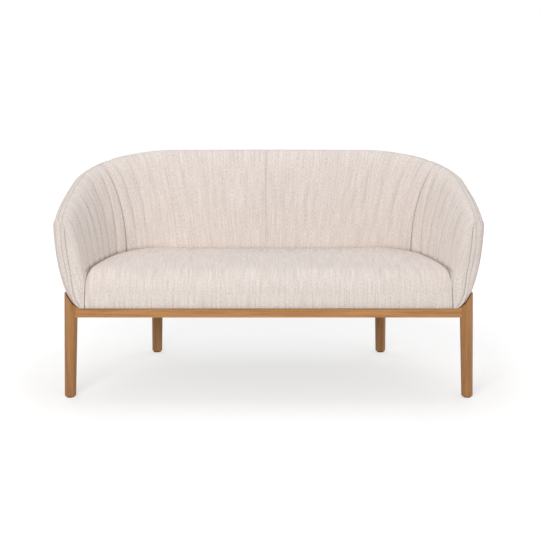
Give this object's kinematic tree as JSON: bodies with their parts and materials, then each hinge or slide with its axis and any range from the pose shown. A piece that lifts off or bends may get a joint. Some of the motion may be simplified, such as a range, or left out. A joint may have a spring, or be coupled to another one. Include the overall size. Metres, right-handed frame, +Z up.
{
  "type": "high_back_settee",
  "caption": "High back settee: a channelled cloth shell of back and arms round a tight D-shaped seat, on a wooden base with round tapered legs.",
  "frame": {"origin": "on the floor, under the middle of the settee's outer box", "axes": "+Z up, +X to the right as seen from the front, the front faces -Y"},
  "size_m": [1.5554, 0.6428, 0.8199],
  "materials": {
    "woven_cloth": "matt heathered weave, light oatmeal",
    "finished_wood": "satin honey brown",
    "plain_wood": "planed, unfinished",
    "liner_board": "pressed board",
    "foam": "cut foam",
    "bolt_steel": "zinc plated",
    "glide_plastic": "moulded, dark",
    "dust_cloth": "thin black non-woven cloth"
  },
  "bodies": {
    "root": {"front_rail": "finished_wood", "back_rail": "finished_wood", "left_side_rail": "finished_wood", "right_side_rail": "finished_wood", "cross_rail": "plain_wood", "front_left_leg": "finished_wood", "front_right_leg": "finished_wood", "back_left_leg": "finished_wood", "back_right_leg": "finished_wood", "front_left_glide": "glide_plastic", "front_right_glide": "glide_plastic", "back_left_glide": "glide_plastic", "back_right_glide": "glide_plastic", "front_left_corner_block": "plain_wood", "front_right_corner_block": "plain_wood", "back_left_corner_block": "plain_wood", "back_right_corner_block": "plain_wood", "front_left_bolt": "bolt_steel", "front_right_bolt": "bolt_steel", "back_left_bolt": "bolt_steel", "back_right_bolt": "bolt_steel", "dust_cover": "dust_cloth", "seat_deck": "plain_wood", "seat_foam": "foam", "seat_cover": "woven_cloth", "back_upright_middle": "plain_wood", "back_upright_left": "plain_wood", "back_upright_right": "plain_wood", "corner_upright_left": "plain_wood", "corner_upright_right": "plain_wood", "arm_upright_left": "plain_wood", "arm_upright_right": "plain_wood", "arm_post_left": "plain_wood", "arm_post_right": "plain_wood", "top_rail_back": "plain_wood", "top_rail_left": "plain_wood", "top_rail_right": "plain_wood", "back_liner": "liner_board", "arm_liner_left": "liner_board", "arm_liner_right": "liner_board", "back_foam": "foam", "arm_foam_left": "foam", "arm_foam_right": "foam", "outer_pad_back": "foam", "outer_pad_left": "foam", "outer_pad_right": "foam", "inside_back_left": "woven_cloth", "inside_back_right": "woven_cloth", "inside_arm_left": "woven_cloth", "inside_arm_right": "woven_cloth", "outside_arm_left": "woven_cloth", "outside_arm_right": "woven_cloth", "outside_back": "woven_cloth"}
  },
  "joints": []
}
